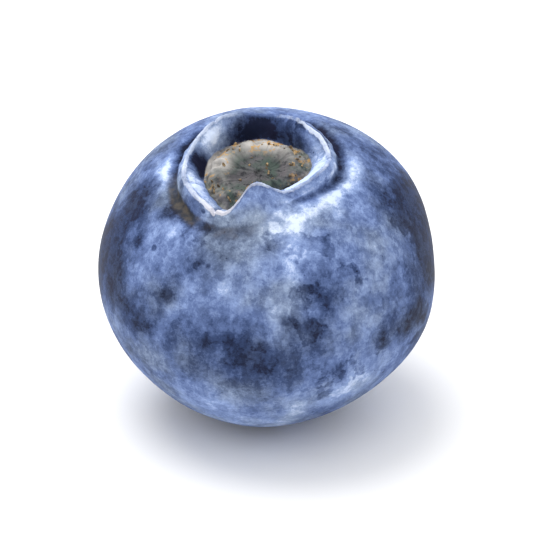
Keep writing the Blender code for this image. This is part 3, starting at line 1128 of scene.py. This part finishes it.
# %% The finish of the crown and the stalk scar
DISC_BROWN = paint(93, 90, 93)
DISC_OLIVE = paint(72, 84, 78)
DISC_DARK = paint(40, 42, 46)
OCHRE = paint(190, 146, 78)
TAN = paint(184, 180, 175)
DUST = paint(56, 59, 66)
DUST_BROWN = paint(88, 82, 76)
LIP_PALE = paint(204, 214, 234)
LIP_WARM = paint(212, 210, 218)
CORK = paint(142, 118, 90)
CORK_DARK = paint(70, 56, 46)

DISC_TONE_SIZE, PIT_SIZE, OCHRE_SIZE = 0.9 * MM, 0.3 * MM, 0.6 * MM
PALE_RING = (NECTARY_RADIUS - 0.7 * MM, NECTARY_RADIUS + 0.1 * MM)  # the radii between which it sets in
STYLE_SCAR_EDGE = (0.2 * MM, 0.36 * MM)
LIP_WIDTH_SIZE, BREAK_SIZE, UNEVEN_SIZE = 0.4 * MM, 0.9 * MM, 0.5 * MM
TORN_SIZE, CORK_TONE_SIZE = 0.3 * MM, 0.35 * MM


def disc_colour(at, back, stamen_scar, uneven):
    """Dry tissue with pits and wrinkles, a pale ochre ring round it, and a dark scar in its middle."""
    tone = step(noise(at, DISC_TONE_SIZE, detail=4.0, rough=0.6, seed=37.0), -0.14, 0.14)
    disc = mix(tone, DISC_OLIVE, DISC_BROWN)
    pits = step(noise(at, PIT_SIZE, detail=4.0, rough=0.65, seed=39.0), 0.05, 0.12)
    disc = mix(pits * 0.75, disc, DISC_DARK)
    flat = stretched(at, (1.0, 1.0, 0.0))
    radius = calculate_vector("LENGTH", flat, output=1)
    rays = step(noise(on_ring(flat, radius), RAY_WIDTH, detail=3.0, seed=55.0), -0.02, 0.2, 0.0, 0.5)
    disc = mix(rays, disc, DISC_DARK)
    ring = step(radius, *PALE_RING)
    disc = mix(clamp(ring * (0.15 + back * 0.9 + uneven * 1.2)), disc, TAN)
    ochre = step(noise(at, OCHRE_SIZE, detail=5.0, rough=0.65, seed=41.0) + back * 0.05, 0.07, 0.13)
    disc = mix(clamp(ochre * ring * (0.5 + back * 0.6)), disc, OCHRE)
    disc = mix(step(radius, *STYLE_SCAR_EDGE, 0.25, 0.0), disc, DISC_DARK)
    return mix(clamp(stamen_scar) * 0.4, disc, DISC_DARK)


def lip_edge(at, degrees, lip, sepal, broken):
    """How much the sepals' dry pale edge covers."""
    width = noise(at, LIP_WIDTH_SIZE, detail=4.0, rough=0.65, seed=98.0)
    edge = step(lip + width * 1.3 + round_the_axis(degrees, WIDE_LIP), 0.55, 0.95)
    # LIP_TONES takes the pale edge away at the back, as painted shade
    tone = 0.6 - clamp(sepal) * 0.25 + broken * 2.2 + round_the_axis(degrees, LIP_TONES)
    return clamp(edge * step(lip, 0.02, 0.2) * tone)


def with_cork(at, colour, stalk_scar):
    """The colour with a dark torn edge and brown cork laid over it in the stalk scar."""
    torn = noise(at, TORN_SIZE, detail=5.0, rough=0.7, seed=44.0)
    colour = mix(step(stalk_scar + torn * 0.6, 0.3, 0.7) * 0.7, colour, BARE_PURPLE)
    tone = step(noise(at, CORK_TONE_SIZE, detail=3.0, seed=43.0), -0.15, 0.15)
    return mix(step(stalk_scar + torn * 0.9, 0.8, 0.98), colour, mix(tone, CORK_DARK, CORK))


def paint_crown(shader, at, degrees, weight, colour):
    """The disc, the sepals' edge, the dusty groove and the cork, each laid over the last."""
    back = round_the_axis(degrees, BACK_OF_CROWN)
    uneven = noise(at, UNEVEN_SIZE, detail=3.0, seed=71.0)
    broken = noise(at, BREAK_SIZE, detail=4.0, rough=0.6, seed=97.0)
    disc = disc_colour(at, back, weight["stamen_scar"], uneven)
    colour = mix(step(weight["disc"] + uneven * 0.6, 0.35, 0.65), colour, disc)
    pale = mix(clamp(round_the_axis(degrees, WARM_LIP)), LIP_PALE, LIP_WARM)
    colour = mix(lip_edge(at, degrees, weight["lip"], weight["sepal"], broken), colour, pale)
    dusty = round_the_axis(degrees, DUST_IN_GROOVE) * (0.75 + broken * 2.2)
    dust = mix(step(uneven, -0.12, 0.12), DUST, DUST_BROWN)
    colour = mix(clamp(clamp(weight["groove"] * 1.7) * dusty), colour, dust)
    feed(shader.inputs["Base Color"], with_cork(at, colour, weight["stalk_scar"]))


paint_crown(*dress(skin))
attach(berry, "root")
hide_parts(SOLID)
print("the berry takes the place of", SOLID)

# %% [markdown]
# ## The finish of the dry bits
#
# Crumbs of dead flower and of cork are dull. Two tones of noise, one as wide as a few crumbs and one
# finer than a crumb, make each differ from the next.

# %% The finish of the dry bits
FLOWER_DARK, FLOWER_PALE = paint(88, 74, 58), paint(176, 150, 112)
CRUMB_DARK, CRUMB_PALE = paint(96, 72, 50), paint(168, 136, 96)


def dress_crumbs(material, dark, pale, size):
    """Dry plant matter: two colours, one crumb darker than the next, rough all over."""
    material.use_nodes = True
    tree = material.node_tree
    shader = tree.nodes["Principled BSDF"]
    shader.inputs["Specular IOR Level"].default_value = 0.2
    at = result(tree, "ShaderNodeTexCoord", None, "Object")
    tone = step(noise(at, size, detail=2.0, seed=51.0) + noise(at, size / 4, seed=52.0), -0.15, 0.2)
    feed(shader.inputs["Base Color"], mix(tone, dark, pale))
    feed(shader.inputs["Roughness"], tone * 0.15 + 0.75)


dress_crumbs(dry_flower, FLOWER_DARK, FLOWER_PALE, 0.5 * MM)
dress_crumbs(dry_cork, CRUMB_DARK, CRUMB_PALE, 0.4 * MM)
for piece in (dry_bits, cork_bits):
    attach(piece, "root")
print("dry bits lie on the disc and in the stalk scar")

# %% [markdown]
# ## Table, light and camera
#
# The berry lies on a plain pale table, alone. Most of the light comes from a bright, nearly white room, as
# in a light tent that is lit from its roof: brighter overhead than at its sides, so shadows are soft and
# lie close. One wide lamp above and behind, a little to the left, gives the crown its bright edges. The
# camera looks down at about 30 degrees from far off, through a long lens, which keeps the berry's outline
# true.

# %% Table
TABLE_SIDE = 12.0  # so wide that its edge stays out of low views too
TABLE_COLOUR = (0.93, 0.925, 0.915, 1)
TABLE_ROUGHNESS = 0.6


def table_top():
    bpy.ops.mesh.primitive_plane_add(size=TABLE_SIDE)
    floor = bpy.context.object
    floor.name = "table"
    material = bpy.data.materials.new("pale table")
    material.use_nodes = True
    shader = material.node_tree.nodes["Principled BSDF"]
    shader.inputs["Base Color"].default_value = TABLE_COLOUR
    shader.inputs["Roughness"].default_value = TABLE_ROUGHNESS
    floor.data.materials.append(material)
    floor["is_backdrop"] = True
    return floor


print("the berry lies on the", table_top().name)

# %% Light
LAMP_PLACE, LAMP_SIZE, LAMP_POWER = (-0.14, 0.14, 0.5), 0.4, 1.7
ROOM_COLOUR = (0.955, 0.958, 0.966, 1)
SIDE_LIGHT, ROOF_LIGHT = 0.74, 1.37


def round_lamp(name, place, size, power):
    """A wide round lamp that shines from its place towards the middle of the table."""
    light = bpy.data.lights.new(name, "AREA")
    light.shape = "DISK"
    light.size = size
    light.energy = power
    lamp = bpy.data.objects.new(name, light)
    bpy.context.scene.collection.objects.link(lamp)
    lamp.location = place
    lamp.rotation_euler = Vector(place).to_track_quat("Z", "Y").to_euler()
    return lamp


def light_tent(colour, low, high):
    """A room that is brighter overhead than at its sides."""
    world = bpy.data.worlds.new("light tent")
    world.use_nodes = True
    background = world.node_tree.nodes["Background"]
    up = split(result(world.node_tree, "ShaderNodeTexCoord", None, "Generated"))[2]
    background.inputs["Color"].default_value = colour
    feed(background.inputs["Strength"], step(up, 0.1, 0.9, low, high))
    return world


lamp = round_lamp("overhead", LAMP_PLACE, LAMP_SIZE, LAMP_POWER)
bpy.context.scene.world = light_tent(ROOM_COLOUR, SIDE_LIGHT, ROOF_LIGHT)
bpy.context.scene.view_settings.view_transform = "Standard"
print("the lamp", lamp.name, "and a room that is brightest overhead light the berry")

# %% Camera
ELEVATION = math.radians(30)
DISTANCE = 0.45
FRAME_WIDTH = 26.5 * MM

camera = bpy.data.objects.new("camera", bpy.data.cameras.new("camera"))
bpy.context.scene.collection.objects.link(camera)
bpy.context.scene.camera = camera
camera.data.lens = camera.data.sensor_width * DISTANCE / FRAME_WIDTH
camera.data.clip_start = 0.01
back = Vector((0, -math.cos(ELEVATION), math.sin(ELEVATION)))
turn = back.to_track_quat("Z", "Y")
places = [vertex.co for vertex in berry.data.vertices]
aim = Vector()
for direction in (turn @ Vector((1, 0, 0)), turn @ Vector((0, 1, 0))):
    reaches = [place.dot(direction) for place in places]
    aim += direction * (min(reaches) + max(reaches)) / 2
camera.location = aim + back * DISTANCE
camera.rotation_euler = turn.to_euler()
print("the frame is", round(FRAME_WIDTH / MM, 1), "mm wide")

# %% Sizes for the record
boxes = {"solid": solid_box, "visible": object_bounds()}
for name, box in boxes.items():
    print(name, [tuple(round(value / MM, 2) for value in corner) for corner in box])
